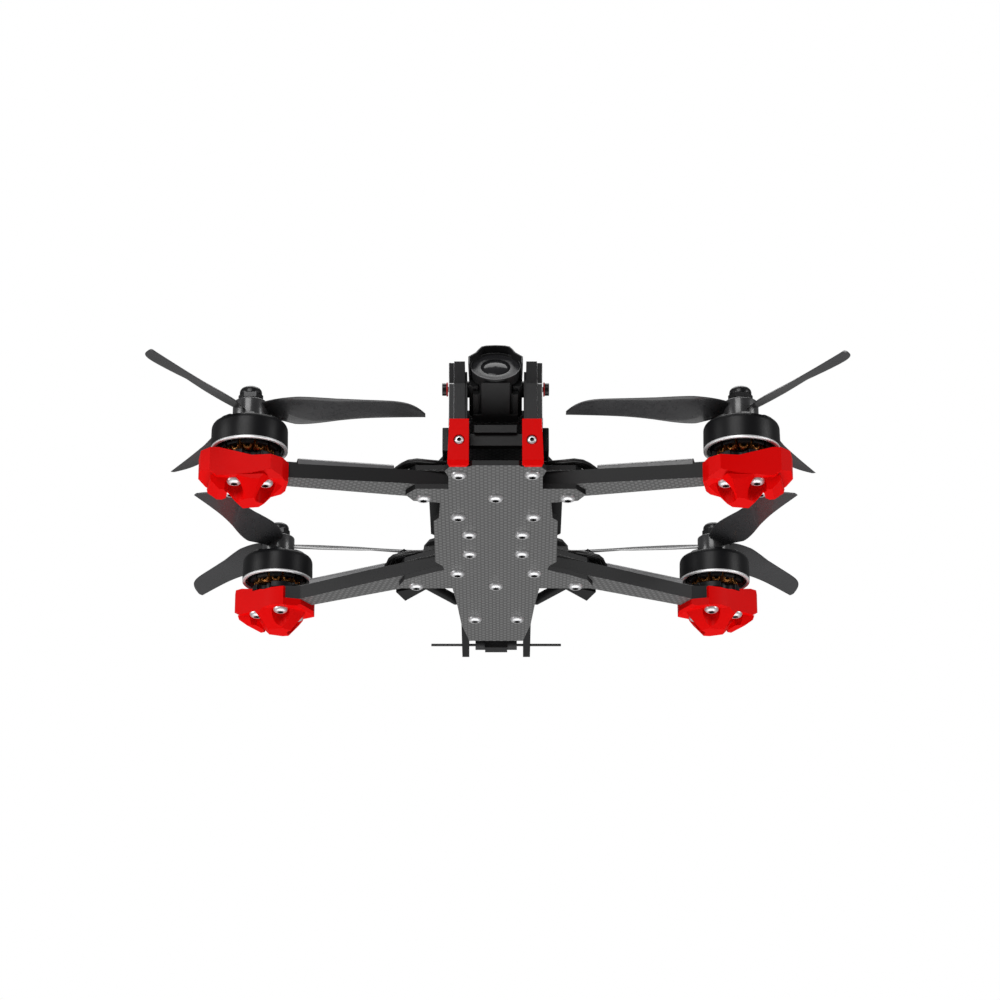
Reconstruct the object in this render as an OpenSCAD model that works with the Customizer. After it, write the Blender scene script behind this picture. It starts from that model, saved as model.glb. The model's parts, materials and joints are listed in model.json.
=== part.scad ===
// Five-inch FPV racing quadcopter. Nose towards -Y, up +Z, feet on Z = 0,
// X = 0 on the mid-plane and Y = 0 midway between the front and rear motors.

/* [Layout] */
// Sideways distance of the front motor shafts from the mid-plane
front_x = 90; // [86:0.5:96]
// Sideways distance of the rear motor shafts from the mid-plane
rear_x = 88; // [86:0.5:94]
// Distance of each motor shaft ahead of or behind Y = 0
motor_y = 67.8; // [66:0.1:72]
// Angle of the front arms from the sideways axis
front_sweep = 10; // [8:0.5:12]
// Angle of the rear arms from the sideways axis
rear_sweep = 30; // [28:0.5:32]
// Height of the belly plate above the ground
belly_z = 8; // [8:0.5:12]

/* [Carbon plates] */
// Thickness of the belly plate
belly_t = 2; // [1.5:0.5:3]
// Thickness of the arms
arm_t = 5.5; // [4:0.5:6]
// Thickness of the plate that clamps the arms from above
mid_t = 2; // [1.5:0.5:2.5]
// Thickness of the top plate
top_t = 2.5; // [2:0.5:3]
// Clear height between the mid plate and the top plate
bay_h = 22; // [20:1:26]

/* [Motors and propellers] */
// Radius of the motor bell
bell_r = 14.1; // [13.8:0.1:14.4]
// Height of the motor bell
bell_h = 11.5; // [11:0.5:12.5]
// Height of the bell's lower rim above the arm
bell_gap = 5.3; // [5:0.1:6]
// Radius of the bolt circle under each motor
mount_r = 8; // [8:0.5:8]
// Radius of the propeller at its tips
prop_r = 64.2; // [60:0.1:65]
// Distance that the propeller would screw forward in one turn
prop_pitch = 96; // [80:1:110]

/* [Camera] */
// Upward tilt of the camera as stored
cam_tilt = 34; // [20:1:45]
// Half of the gap between the camera's cheek plates
cheek_in = 11.1; // [10.8:0.1:12]
// Thickness of the cheek plates
cheek_t = 3.9; // [3:0.1:4.5]
// Thickness of the outer side plates
side_t = 2; // [1.5:0.1:2.5]

/* [Hidden] */
$fn = 48;
arm_z = belly_z + belly_t;
arm_top = arm_z + arm_t;
mid_top = arm_top + mid_t;
top_z = mid_top + bay_h;
deck_z = top_z + top_t;
bell_z = arm_top + bell_gap;
bell_top = bell_z + bell_h;
hub_h = 7.7;
nut_z = bell_top + hub_h;
m3 = 1.5;                       // radius of an M3 screw
m3_hole = 1.6;                  // radius of an M3 clearance hole
head_r = 2.85;                  // radius of an M3 button head
head_h = 1.65;
shaft_r = 2;                    // motor shaft inside the bearings
stud_r = 2.5;                   // threaded shaft end that carries the propeller
stack_y = -8.6;                 // centre of the electronics stack
stack_half = 10;                // half of its 20 mm bolt square
cam_y = -77;                    // camera pivot
cam_z = belly_z + 33.6;
cover_u = [-53, -17.5];         // wire cover, along the arm from the shaft
wire_r = 0.8;
rail_in = 11.2;                 // inner face of the tail rails
rail_t = 2.9;
tail_end = 127;
rod_y = 121.8;                  // receiver antenna
rod_z = belly_z + 5.5;

// corner: name, side (-1 left, 1 right), end (-1 front, 1 rear)
CORNERS = [
    ["front_left", -1, -1], ["front_right", 1, -1],
    ["rear_left", -1, 1], ["rear_right", 1, 1]
];
SIDES = [["left", -1], ["right", 1]];
CORNER_PARTS = ["arm", "arm_guard", "motor_base", "stator", "motor_bell", "propeller", "prop_nut"];
SIDE_PARTS = ["camera_cheek", "camera_side_plate", "front_bumper", "side_panel", "rear_fairing"];

// screws through the belly plate: half width, Y, top of the shank
ARM_BOLTS = [[26.5, -55.3, mid_top + 2.4], [31.2, 36.4, mid_top + 2.4]];
POSTS = [[14, -36.7, mid_top + 6], [14.9, 22.4, mid_top + 6], [8.5, 74.2, arm_z + 6]];
NOSE_BOLTS = [[13.3, -77.6, arm_z + 8]];
STACK_BOLTS = [[stack_half, stack_y - stack_half, mid_top + 15],
               [stack_half, stack_y + stack_half, mid_top + 15]];
CENTRE_BOLTS = [[0, -55.3, mid_top], [0, 36.4, mid_top]];
PAIRED_BOLTS = concat(ARM_BOLTS, POSTS, NOSE_BOLTS, STACK_BOLTS);
ACCESSORY = [20, 20, -41];      // free bolt square in the top plate: X and Y spacing, centre Y

// ---------- helpers ----------
module both() {
    children();
    mirror([1, 0, 0]) children();
}

// puts a child, drawn with U outwards along the arm and V towards the nearer end, at a motor
module at_motor(c) {
    x = c[2] < 0 ? front_x : rear_x;
    sweep = c[2] < 0 ? front_sweep : rear_sweep;
    mirror([c[1] < 0 ? 1 : 0, 0, 0]) mirror([0, c[2] < 0 ? 1 : 0, 0])
        translate([x, motor_y, 0]) rotate(sweep) children();
}

module at_shaft(c) {
    x = c[2] < 0 ? front_x : rear_x;
    translate([c[1] * x, c[2] * motor_y, 0]) children();
}

module drill(points, r = m3_hole) {
    for (p = points) translate([p[0], p[1], -1]) cylinder(r = r, h = 100);
}

// the right half of an outline, front to back, gives the whole plate
function whole(half) = concat(half, [for (k = [len(half) - 1 : -1 : 0]) [-half[k][0], half[k][1]]]);

module plate(z, t, half, paired, centre = []) {
    difference() {
        translate([0, 0, z]) linear_extrude(t) polygon(whole(half));
        both() drill(paired);
        drill(centre);
        children();
    }
}

// button head screw standing on z, head downwards
module button_screw(p, z, r = m3, hr = head_r, hh = head_h) {
    dome = [for (a = [0 : 15 : 90]) [hr * (0.62 + 0.38 * sin(a)), -hh * cos(a)]];
    translate([p[0], p[1], z]) difference() {
        union() {
            rotate_extrude() polygon(concat([[0, 0], [0, -hh]], dome));
            translate([0, 0, -0.01]) cylinder(r = r, h = p[2] - z + 0.01);
        }
        translate([0, 0, -hh - 1]) cylinder(r = hr * 0.4, h = 1 + hh * 0.6, $fn = 6);
    }
}

// tube along a list of points, one ring of eight corners per point
function unit(v) = v / norm(v);
function heading(p, i) = unit(p[min(i + 1, len(p) - 1)] - p[max(i - 1, 0)]);
function ring(p, i, r) =
    let (t = heading(p, i), a = unit(cross(t, [0.13, 0.21, 1])), b = cross(t, a))
    [for (k = [0 : 7]) p[i] + r * (cos(45 * k) * a + sin(45 * k) * b)];
module tube(p, r) {
    n = len(p);
    points = [for (i = [0 : n - 1]) each ring(p, i, r)];
    sides = [for (i = [0 : n - 2]) for (k = [0 : 7])
        [8 * i + 8 + k, 8 * i + 8 + (k + 1) % 8, 8 * i + (k + 1) % 8, 8 * i + k]];
    first = [for (k = [0 : 7]) k];
    last = [for (k = [7 : -1 : 0]) 8 * (n - 1) + k];
    polyhedron(points, concat(sides, [first, last]));
}

// ---------- carbon frame ----------
module belly_plate() color("#3a3a3c") {
    plate(belly_z, belly_t, [
        [8.4, -85.6], [9.4, -84.4], [16.4, -84.4], [18.4, -80.4], [17.1, -74.8],
        [17.2, -63.3], [29.3, -63.3], [33.1, -57.5], [30.3, -51.6], [20.5, -49.7],
        [21.2, -34.7], [23.2, -31.5], [23.4, 11], [20.7, 15.3], [20, 19.7], [28.6, 25.1],
        [35.8, 30.6], [38, 37.3], [37, 40.1], [17.1, 40.1], [15.4, 60], [14, 82], [11, 101.4]
    ], PAIRED_BOLTS, CENTRE_BOLTS);
}

module mid_plate() color("#3a3a3c") {
    plate(arm_top, mid_t, [
        [17.2, -61], [18, -63.3], [29.3, -63.3], [33.1, -57.5], [30.3, -51.6],
        [19.5, -46], [19.5, 12], [20.7, 19.7], [28.6, 25.1], [35.8, 30.6], [38, 37.3],
        [36, 40], [15, 40], [12, 50]
    ], concat(ARM_BOLTS, STACK_BOLTS, [POSTS[0], POSTS[1]]), CENTRE_BOLTS);
}

module top_plate() color("#3a3a3c") {
    x = ACCESSORY[0] / 2;
    y = ACCESSORY[1] / 2;
    plate(top_z, top_t, [
        [12, -57], [17.6, -50], [17.6, 32], [14, 60], [11, 100]
    ], concat(POSTS, [[x, ACCESSORY[2] - y], [x, ACCESSORY[2] + y]])) {
        // slots for the battery strap
        both() for (y = [-3, 27]) translate([12.6, y, top_z - 1]) cube([1.7, 14, top_t + 2]);
    }
}

module arm(c) color("#343436") {
    front = c[2] < 0;
    // a front arm's root turns back to reach the second post
    root = front ? [[-72, -6.4], [-75, -22], [-86, -22], [-86, 6.2]] : [[-90, -6.2], [-90, 6.2]];
    bolts = front ? [ARM_BOLTS[0], POSTS[0]] : [ARM_BOLTS[1], POSTS[1]];
    difference() {
        at_motor(c) translate([0, 0, arm_z]) linear_extrude(arm_t)
            polygon(concat([[-54, 6], [-14, 4.3], [-8, 8], [8, 8], [10.4, 5], [10.4, -5], [8, -8],
                            [-8, -8], [-14, -4.3], [-54, -6]], root));
        mirror([c[1] < 0 ? 1 : 0, 0, 0]) drill(bolts);
        at_motor(c) drill([for (a = [45 : 90 : 315]) mount_r * [cos(a), sin(a)]]);
        at_motor(c) drill([[0, 0]], 3);
    }
}

// ---------- soft red guard under each motor ----------
module arm_guard(c) color("#d01010") at_motor(c) {
    plan = [[18, -3.5], [18, 4.5], [15, 8.7], [0, 11.2], [-6.6, 13.2], [-11.3, 10.4],
            [-14, 5.5], [-14, -4], [-9, -9], [-4, -10], [0, -9.6], [15, -7.4]];
    foot = [[4.4, 1.6], [1, 6], [-1.4, 6.9], [-5.8, 1.8], [-4.2, -1.8], [1.4, -3.9]];
    skirt_z = belly_z - 4.9;
    floor_z = belly_z - 1;
    bolts = [for (a = [45 : 90 : 315]) mount_r * [cos(a), sin(a)]];
    difference() {
        union() {
            // tray and wall: the lip rises towards the tip and the underside is chamfered
            intersection() {
                translate([0, 0, floor_z]) linear_extrude(11) polygon(plan);
                rotate([90, 0, 0]) linear_extrude(60, center = true)
                    polygon([[-16, belly_z + 1], [-12.6, floor_z], [12.4, floor_z], [14.4, belly_z + 0.6], [18.6, belly_z + 2.4],
                             [20, belly_z + 2.4], [20, arm_top + 2.5], [12, arm_top + 2.5], [0, arm_top - 0.5],
                             [-16, arm_top - 0.5]]);
                rotate([90, 0, 90]) linear_extrude(60, center = true)
                    polygon([[-12, belly_z + 0.6], [-8.8, floor_z], [9.5, floor_z], [14, belly_z + 1.8],
                             [14, 40], [-12, 40]]);
            }
            // skirt below the tip
            intersection() {
                translate([0, 0, skirt_z]) linear_extrude(floor_z - skirt_z + 0.5) polygon(plan);
                rotate([90, 0, 0]) linear_extrude(60, center = true)
                    polygon([[7, floor_z + 1], [7.8, skirt_z], [11, skirt_z], [14.3, belly_z - 2.2], [14.6, floor_z + 1]]);
                rotate([90, 0, 90]) linear_extrude(60, center = true)
                    polygon([[-6.5, floor_z + 1], [-4.5, skirt_z], [5.5, skirt_z], [8, floor_z + 1]]);
            }
            // main foot, tapering to the ground
            intersection() {
                linear_extrude(floor_z + 0.5) polygon(plan);
                intersection_for(k = [0 : 5]) {
                    a = foot[k];
                    b = foot[(k + 1) % 6];
                    translate([a[0], a[1], 0]) rotate([0, 0, atan2(b[1] - a[1], b[0] - a[0])])
                        rotate([38, 0, 0]) translate([-50, 0, -50]) cube([100, 50, 100]);
                }
                translate([-30, -30, 0]) cube(60);
            }
        }
        // bed for the arm
        translate([0, 0, arm_z]) linear_extrude(20)
            polygon([[-40, -5.3], [-40, 5.3], [-14, 4.6], [-8.1, 8.1], [8.1, 8.1], [10.6, 5.1],
                     [10.6, -5.1], [8.1, -8.1], [-8.1, -8.1], [-14, -4.6]]);
        // open side where the arm leaves
        translate([-30, -20, arm_z]) cube([21, 24.6, 20]);
        // clearance round the motor base
        translate([0, 0, arm_top]) cylinder(r = 10.6, h = 10);
        drill(bolts);
        for (p = bolts) translate([p[0], p[1], -1]) cylinder(r = 3.5, h = floor_z + 1);
    }
}

// ---------- motors ----------
module motor_base(c) color("#2b2b2d") at_motor(c) translate([0, 0, arm_top]) {
    bolts = [for (a = [45 : 90 : 315]) mount_r * [cos(a), sin(a)]];
    difference() {
        union() {
            cylinder(r = 10.2, h = 2.5);
            cylinder(r = 4, h = 14);
        }
        // waist between each pair of screw lugs
        for (a = [0 : 90 : 270]) rotate(a) translate([10.5, 0, -1]) cylinder(r = 3.6, h = 5);
        translate([0, 0, -1]) cylinder(r = shaft_r + 0.05, h = 20);
        for (p = bolts) translate([p[0], p[1], -1]) cylinder(r = m3_hole, h = 5);
    }
}

module stator(c) color("#a5602a") at_shaft(c) translate([0, 0, arm_top + 3]) {
    teeth = 12;
    difference() {
        union() {
            cylinder(r = 6, h = 11);
            for (k = [0 : teeth - 1]) rotate(k * 360 / teeth) {
                translate([5, -1.4, 0.6]) cube([4.9, 2.8, 9.8]);
                intersection() {
                    translate([8.5, -2.5, 1.8]) cube([4, 5, 7.4]);
                    cylinder(r = 11.1, h = 20);
                }
            }
        }
        translate([0, 0, -1]) cylinder(r = 4.05, h = 20);
    }
}

module motor_bell(c) color("#1c1c1e") at_shaft(c) {
    windows = 6;
    wall = 1.8;
    roof = 1.7;
    outer = [for (a = [0 : 15 : 90]) [bell_r - 4.6 + 4.6 * cos(a), bell_top - 3.4 + 3.4 * sin(a)]];
    difference() {
        union() {
            rotate_extrude() polygon(concat([[bell_r - 2.3, bell_z], [bell_r, bell_z]], outer,
                [[0, bell_top], [0, bell_top - roof], [bell_r - 3.6, bell_top - roof], [bell_r - 2.3, bell_top - roof - 1.6]]));
            translate([0, 0, arm_top + 0.4]) cylinder(r = shaft_r, h = bell_top - arm_top - 1);
            translate([0, 0, bell_top - 0.5]) cylinder(r = stud_r, h = nut_z - bell_top + 5.7);
        }
        for (k = [0 : windows - 1]) rotate((k + 0.5) * 360 / windows)
            translate([8.3, 0, bell_top - 4]) cylinder(r = 1.8, h = 5);
    }
}

// blade sections: fraction s of the propeller's radius, edges measured along the twisted chord
function fuller(s) = 1 + 0.21 * min(1, max(0, (0.5 - s) / 0.22));
function leading(s) = fuller(s) * (7.2 - 5 * exp(-s / 0.12) - 7.5 * pow(max(0, (s - 0.66) / 0.34), 5));
function trailing(s) = -fuller(s) * (2.4 + 2.1 * exp(-pow((s - 0.32) / 0.24, 2))) * min(1, 0.25 + 3 * s);
function twist(s) = min(25, atan(prop_pitch / (2 * PI * prop_r * s)));
function section(s, spin) =
    let (half = max(leading(s) - trailing(s), 0.6) / 2, mid = (leading(s) + trailing(s)) / 2,
         t = 2 - 1.15 * s, a = twist(s))
    [for (k = [0 : 9])
        let (w = 36 * k, x = mid + half * cos(w), z = t / 2 * sin(w) + 0.08 * half * (1 - pow(cos(w), 2)))
        [s * prop_r, spin * (x * cos(a) - z * sin(a)), x * sin(a) + z * cos(a)]];
module blade(spin) {
    stations = concat([for (i = [0 : 9]) 0.07 + i * 0.08], [0.84, 0.88, 0.91, 0.94, 0.965, 0.985, 1]);
    n = len(stations);
    points = [for (s = stations) each section(s, spin)];
    sides = [for (i = [0 : n - 2]) for (k = [0 : 9])
        let (a = 10 * i + k, b = 10 * i + (k + 1) % 10)
        for (f = [[a + 10, b + 10, a], [b + 10, b, a]]) f];
    caps = [[for (k = [0 : 9]) k], [for (k = [9 : -1 : 0]) 10 * (n - 1) + k]];
    faces = concat(sides, caps);
    polyhedron(points, spin > 0 ? faces : [for (f = faces) [for (k = [len(f) - 1 : -1 : 0]) f[k]]]);
}

module propeller(c) color("#4a4a4e") at_shaft(c) {
    // front left and rear right turn clockwise seen from above
    spin = c[1] * c[2] > 0 ? -1 : 1;
    first = c[2] < 0 ? (c[1] > 0 ? 62 : 120) : (c[1] > 0 ? 55 : 125);
    translate([0, 0, bell_top]) {
        difference() {
            cylinder(r = 6.5, h = hub_h);
            translate([0, 0, -1]) cylinder(r = stud_r + 0.05, h = hub_h + 2);
        }
        for (k = [0 : 2]) rotate(first + 120 * k) translate([0, 0, hub_h / 2]) blade(spin);
    }
}

module prop_nut(c) color("#151516") at_shaft(c) translate([0, 0, nut_z]) difference() {
    union() {
        cylinder(r = 4.9, h = 1);
        cylinder(r = 4.6, h = 3.6, $fn = 6);
        cylinder(r = 4.1, h = 4.9);
        translate([0, 0, 4.8]) cylinder(r1 = 4.1, r2 = 3.1, h = 1.2);
    }
    translate([0, 0, -1]) cylinder(r = stud_r + 0.05, h = 10);
}

module motor_screws() color("silver") for (c = CORNERS) at_motor(c)
    for (a = [45 : 90 : 315]) button_screw(concat(mount_r * [cos(a), sin(a)], [arm_top + 2.3]), belly_z - 1);

// ---------- wiring on the arms ----------
module wire_covers() color("#77777a") for (c = CORNERS) at_motor(c) {
    length = cover_u[1] - cover_u[0];
    translate([cover_u[0], 0, arm_top]) difference() {
        rotate([90, 0, 90]) linear_extrude(length)
            polygon([[-3.6, 0], [-3.6, 2.1], [-2.6, 3], [2.6, 3], [3.6, 2.1], [3.6, 0]]);
        translate([-1, -2.9, -1]) cube([length + 2, 5.8, 3.1]);
    }
}

// route of the middle wire: U, V, Z
FRONT_WIRE = [[-8.9, 0, 18.2], [-9.2, 0, 17.2], [-10.4, 0, 16.5], [-14, 0, 16.4], [-36, 0, 16.4],
    [-53, 0, 16.4], [-55, 0.8, 17.2], [-57, 2, 18.4], [-59, 3.5, 19.1], [-61.5, 4.7, 19.2], [-64.7, 5, 18.9],
    [-68, 4.8, 18.9], [-73, 3, 19.6], [-77, 0, 20.6]];
REAR_WIRE = [[-8.9, 0, 18.2], [-9.2, 0, 17.2], [-10.4, 0, 16.5], [-14, 0, 16.4], [-36, 0, 16.4],
    [-52.6, 0, 16.4], [-54.6, -1, 17.3], [-57, -3, 18.6], [-59.5, -4.7, 18.7], [-64, -5.1, 18.7],
    [-67.6, -4.8, 18.7], [-72.2, -2.3, 18.7], [-77, -2.2, 18.7], [-82, -1, 18.7]];
function across(p, i) = let (t = heading(p, i)) unit([-t[1], t[0], 0]);
module motor_wires() color("#141416") for (c = CORNERS) at_motor(c) for (k = [-1 : 1]) {
    route = [for (p = c[2] < 0 ? FRONT_WIRE : REAR_WIRE) p + [0, 0, arm_top - 15.5]];
    tube([for (i = [0 : len(route) - 1]) route[i] + 1.8 * k * across(route, i)], wire_r);
}

// ---------- fasteners and posts ----------
module frame_screws() color("silver") {
    both() for (p = PAIRED_BOLTS) button_screw(p, belly_z);
    for (p = CENTRE_BOLTS) button_screw(p, belly_z);
    // top plate screws, heads up
    both() for (p = POSTS) translate([p[0], p[1], deck_z]) mirror([0, 0, 1]) button_screw([0, 0, 8], 0);
    // M2 bumper screws, heads forwards
    both() translate([13.1, -86.1, belly_z + 9.4]) rotate([-90, 0, 0]) button_screw([0, 0, 6.5], 0, 0.95, 1.8, 1.3);
}

module lock_nuts() color("#202022") both() for (p = ARM_BOLTS)
    translate([p[0], p[1], mid_top]) difference() {
        cylinder(r = 3.1, h = 2.4, $fn = 6);
        translate([0, 0, -1]) cylinder(r = m3_hole, h = 5);
    }

module post(x, y, z, r, h) translate([x, y, z]) difference() {
    cylinder(r = r, h = h);
    translate([0, 0, -1]) cylinder(r = m3_hole, h = h + 2);
}

module standoffs() color("#222224") {
    both() for (p = POSTS) {
        base = p[1] > 60 ? arm_z : mid_top;
        post(p[0], p[1], base, 2.5, top_z - base);
    }
    // spacers between the belly and mid plates, and under each board of the stack
    both() for (p = STACK_BOLTS) {
        post(p[0], p[1], arm_z, 2.6, arm_t);
        post(p[0], p[1], mid_top, 2.6, 3);
        post(p[0], p[1], mid_top + 4.6, 2.6, 5.4);
    }
    for (p = CENTRE_BOLTS) post(p[0], p[1], arm_z, 2.6, arm_t);
}

// ---------- nose ----------
module nose_bulkhead() color("#222224") {
    translate([-cheek_in, -79, arm_top + 3]) cube([2 * cheek_in, 3, 4.6]);
    translate([-7.7, -80.5, arm_top + 7.5]) cube([15.4, 4.5, 3]);
}

module pivot_hole(r) translate([0, cam_y, cam_z]) rotate([0, 90, 0]) cylinder(r = r, h = 60, center = true);

module camera_cheek(s) color("#303032") mirror([s[1] < 0 ? 1 : 0, 0, 0]) difference() {
    union() {
        translate([cheek_in, 0, 0]) rotate([90, 0, 90]) linear_extrude(cheek_t)
            polygon([[-84, arm_z], [-84, cam_z - 0.6], [-88.6, cam_z + 6], [-66, cam_z + 6], [-62, cam_z], [-62, arm_z]]);
        // thin pad that keeps the camera centred
        translate([cheek_in - 0.8, 0, 0]) rotate([90, 0, 90]) linear_extrude(1.2)
            polygon([[-83, arm_top + 8], [-83, cam_z + 1], [-84.6, cam_z + 3.6], [-66, cam_z + 3.6], [-64, cam_z], [-64, arm_top + 8]]);
    }
    // room for the camera's pivot boss
    translate([0, cam_y, cam_z]) rotate([0, 90, 0]) cylinder(r = 3.3, h = cheek_in - 0.05);
    pivot_hole(1.05);
    translate([NOSE_BOLTS[0][0], NOSE_BOLTS[0][1], arm_z - 1]) cylinder(r = 1.55, h = 9.4);
    translate([13.1, -90, belly_z + 9.4]) rotate([-90, 0, 0]) cylinder(r = 1, h = 10.8);
}

module camera_side_plate(s) color("#1a1a1c") mirror([s[1] < 0 ? 1 : 0, 0, 0]) difference() {
    translate([cheek_in + cheek_t, 0, 0]) rotate([90, 0, 90]) linear_extrude(side_t)
        polygon([[-83.2, belly_z + 18], [-83.2, cam_z - 0.4], [-87.9, cam_z + 5.8], [-66, cam_z + 5.8],
                 [-61.2, cam_z], [-61.2, belly_z + 14], [-64, mid_top + 0.3], [-80, mid_top + 0.3], [-80, belly_z + 18]]);
    pivot_hole(1.05);
}

module front_bumper(s) color("#d01010") mirror([s[1] < 0 ? 1 : 0, 0, 0]) difference() {
    intersection() {
        // outline seen from the front
        rotate([90, 0, 0]) linear_extrude(200, center = true)
            polygon([[9.6, belly_z + 0.6], [10.6, belly_z - 0.2], [16.6, belly_z - 0.2], [17.3, belly_z + 1.2], [16.7, belly_z + 17.6], [9.6, belly_z + 17.6]]);
        // outline seen from the side
        rotate([90, 0, 90]) linear_extrude(40)
            polygon([[-87.3, belly_z + 1.4], [-86.2, belly_z - 0.2], [-84.5, belly_z - 0.2], [-84.5, arm_z], [-80.5, arm_z], [-80.5, belly_z + 17.6], [-87.3, belly_z + 17.6]]);
    }
    // fits round the cheek
    translate([cheek_in - 0.05, -84.05, arm_z - 0.1]) cube([cheek_t + 0.1, 10, 40]);
    translate([cheek_in + cheek_t, -80.05, arm_z]) cube([10, 5, 40]);
    translate([9, -84.3, arm_z - 0.01]) cube([cheek_in - 9 + 0.01, 10, 40]);
    translate([13.1, -95, belly_z + 9.4]) rotate([-90, 0, 0]) cylinder(r = 1.05, h = 14);
    translate([13.1, -95, belly_z + 9.4]) rotate([-90, 0, 0]) cylinder(r = 2, h = 8.9);
}

module cam_frame() translate([0, cam_y, cam_z]) rotate([-cam_tilt, 0, 0]) children();

module camera_housing() color("#202022") difference() {
    cam_frame() difference() {
        union() {
            // body behind the lens
            rotate([90, 0, 0]) translate([0, 0, -8]) linear_extrude(17.5)
                polygon([[-9.3, -7], [-6.5, -9.6], [6.5, -9.6], [9.3, -7], [9.3, 7], [7, 9.6], [-7, 9.6], [-9.3, 7]]);
            // hooded bezel round the lens
            rotate([90, 0, 0]) translate([0, 0, 9]) linear_extrude(4)
                polygon([[-10, -3], [-10, 2], [-7.2, 5.2], [-5.2, 9.2], [-4.4, 10.4], [4.4, 10.4],
                         [5.2, 9.2], [7.2, 5.2], [10, 2], [10, -3], [6.8, -7.2], [-6.8, -7.2]]);
            // pivot bosses
            rotate([0, 90, 0]) cylinder(r = 3, h = 2 * cheek_in - 0.8, center = true);
        }
        // lens seat
        rotate([90, 0, 0]) translate([0, 0, 6]) cylinder(r = 8.2, h = 20);
        // the hood is open below the lens
        translate([-20, -14, -20]) cube([40, 3.2, 12.6]);
    }
    pivot_hole(1.05);
}

module camera_lens() color("#101014") cam_frame() rotate([90, 0, 0]) translate([0, 0, 6]) difference() {
    union() {
        cylinder(r = 8.15, h = 3.4);
        cylinder(r = 6.4, h = 4.6);
    }
    translate([0, 0, 4]) cylinder(r = 5.4, h = 2);
}

module tilt_screws() color("#141416") both() translate([0, cam_y, cam_z]) rotate([0, 90, 0]) {
    translate([0, 0, 6.5]) cylinder(r = 1, h = 12);
    translate([0, 0, 17.9]) difference() {
        cylinder(r = 2.3, h = 1.6);
        translate([0, 0, 0.8]) cylinder(r = 1.1, h = 2, $fn = 6);
    }
}

module tilt_washers() color("#a01818") both() translate([0, cam_y, cam_z]) rotate([0, 90, 0])
    translate([0, 0, 17.35]) difference() {
        cylinder(r = 2.6, h = 0.55);
        translate([0, 0, -1]) cylinder(r = 1.05, h = 3);
    }

// ---------- side covers ----------
module side_panel(s) color("#1e1e20") mirror([s[1] < 0 ? 1 : 0, 0, 0]) intersection() {
    difference() {
        translate([0, 0, mid_top]) linear_extrude(15.5)
            polygon([[17.2, -62], [19.6, -62], [19.6, -36], [25, -28], [25, 6], [23, 8.4], [17.2, 8.4]]);
        translate([0, 0, mid_top + 1.5]) linear_extrude(12.4)
            polygon([[16, -60.4], [18.1, -60.4], [18.1, -35.4], [23.4, -27.4], [23.4, 5.4], [22.3, 6.8], [16, 6.8]]);
        // port for the front motor wires
        translate([10, -66, mid_top - 1]) cube([20, 12.6, 7]);
        // vents
        for (k = [0 : 3]) translate([20, -22 + 7 * k, mid_top + 5]) cube([10, 3.4, 5]);
    }
    rotate([90, 0, 0]) linear_extrude(200, center = true)
        polygon([[10, 0], [40, 0], [40, mid_top + 10], [25, mid_top + 12.8], [19.6, mid_top + 15.5], [10, mid_top + 15.5]]);
}

module rear_fairing(s) color("#262628") mirror([s[1] < 0 ? 1 : 0, 0, 0]) {
    z = mid_top + 2.1;
    difference() {
        translate([0, 0, z]) linear_extrude(1.1)
            polygon([[17.8, 15.2], [20, 16.1], [23.7, 17.9], [25.8, 19.5], [28.1, 26.1], [28.4, 30.4], [33.7, 34.6],
                     [36, 29.6], [42, 40.3], [44, 46.4], [38, 51], [30, 50], [19.5, 56], [17.8, 56]]);
        // round the lock nut
        translate([ARM_BOLTS[1][0], ARM_BOLTS[1][1], z - 1]) cylinder(r = 3.6, h = 4);
    }
    // apron along the front edge of the mid plate
    translate([0, 0, mid_top]) linear_extrude(2.6)
        polygon([[20.3, 18.6], [20.7, 19.7], [28.1, 24.8], [28.1, 26.5], [20.2, 21.1]]);
    // foot on the mid plate
    translate([22, 36, mid_top]) cylinder(r = 2.4, h = 3);
    // gusset behind the arm root
    translate([0, 0, arm_z]) linear_extrude(z - arm_z + 0.9)
        polygon([[39.6, 49.6], [36.2, 59.6], [27.5, 46.4], [26.4, 42]]);
    // round strut that braces it against the tail rail
    translate([30.6, 46.5, belly_z + 6]) rotate([0, 0, 122.5]) rotate([0, 90, 0]) cylinder(r = 2, h = 27.2);
}

// ---------- tail ----------
module tail_rails() color("#3c3c3e") both() difference() {
    translate([rail_in, 0, 0]) rotate([90, 0, 90]) linear_extrude(rail_t)
        polygon([[62, arm_z], [tail_end, arm_z], [tail_end, arm_z + 8], [106, top_z - 2], [106, top_z], [62, top_z]]);
    translate([0, rod_y, rod_z]) rotate([0, 90, 0]) cylinder(r = 0.65, h = 60, center = true);
    // lightening hole
    translate([0, 86, belly_z + 17]) rotate([0, 90, 0]) cylinder(r = 7, h = 60, center = true);
}

module antenna_holder() color("#19191b") difference() {
    union() {
        translate([0, rod_y - 1.6, rod_z]) rotate([0, 90, 0]) cylinder(r = 2.6, h = 17.2, center = true);
        translate([-4.6, rod_y - 5, rod_z - 2.9]) cube([9.2, 6, 5.8]);
        translate([-rail_in, rod_y - 8.6, rod_z + 1.6]) cube([2 * rail_in, 6, 3]);
    }
    translate([0, rod_y, rod_z]) rotate([0, 90, 0]) cylinder(r = 0.6, h = 60, center = true);
}

module receiver_antenna() color("#0e0e10") translate([0, rod_y, rod_z]) rotate([0, 90, 0])
    cylinder(r = 0.55, h = 54, center = true);

// ---------- electronics ----------
module board(z, size, t) translate([0, stack_y, z]) difference() {
    translate([-size / 2, -size / 2, 0]) cube([size, size, t]);
    for (x = [-1, 1]) for (y = [-1, 1]) translate([x, y, 0] * stack_half - [0, 0, 1]) cylinder(r = 1.9, h = t + 2);
}

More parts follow.
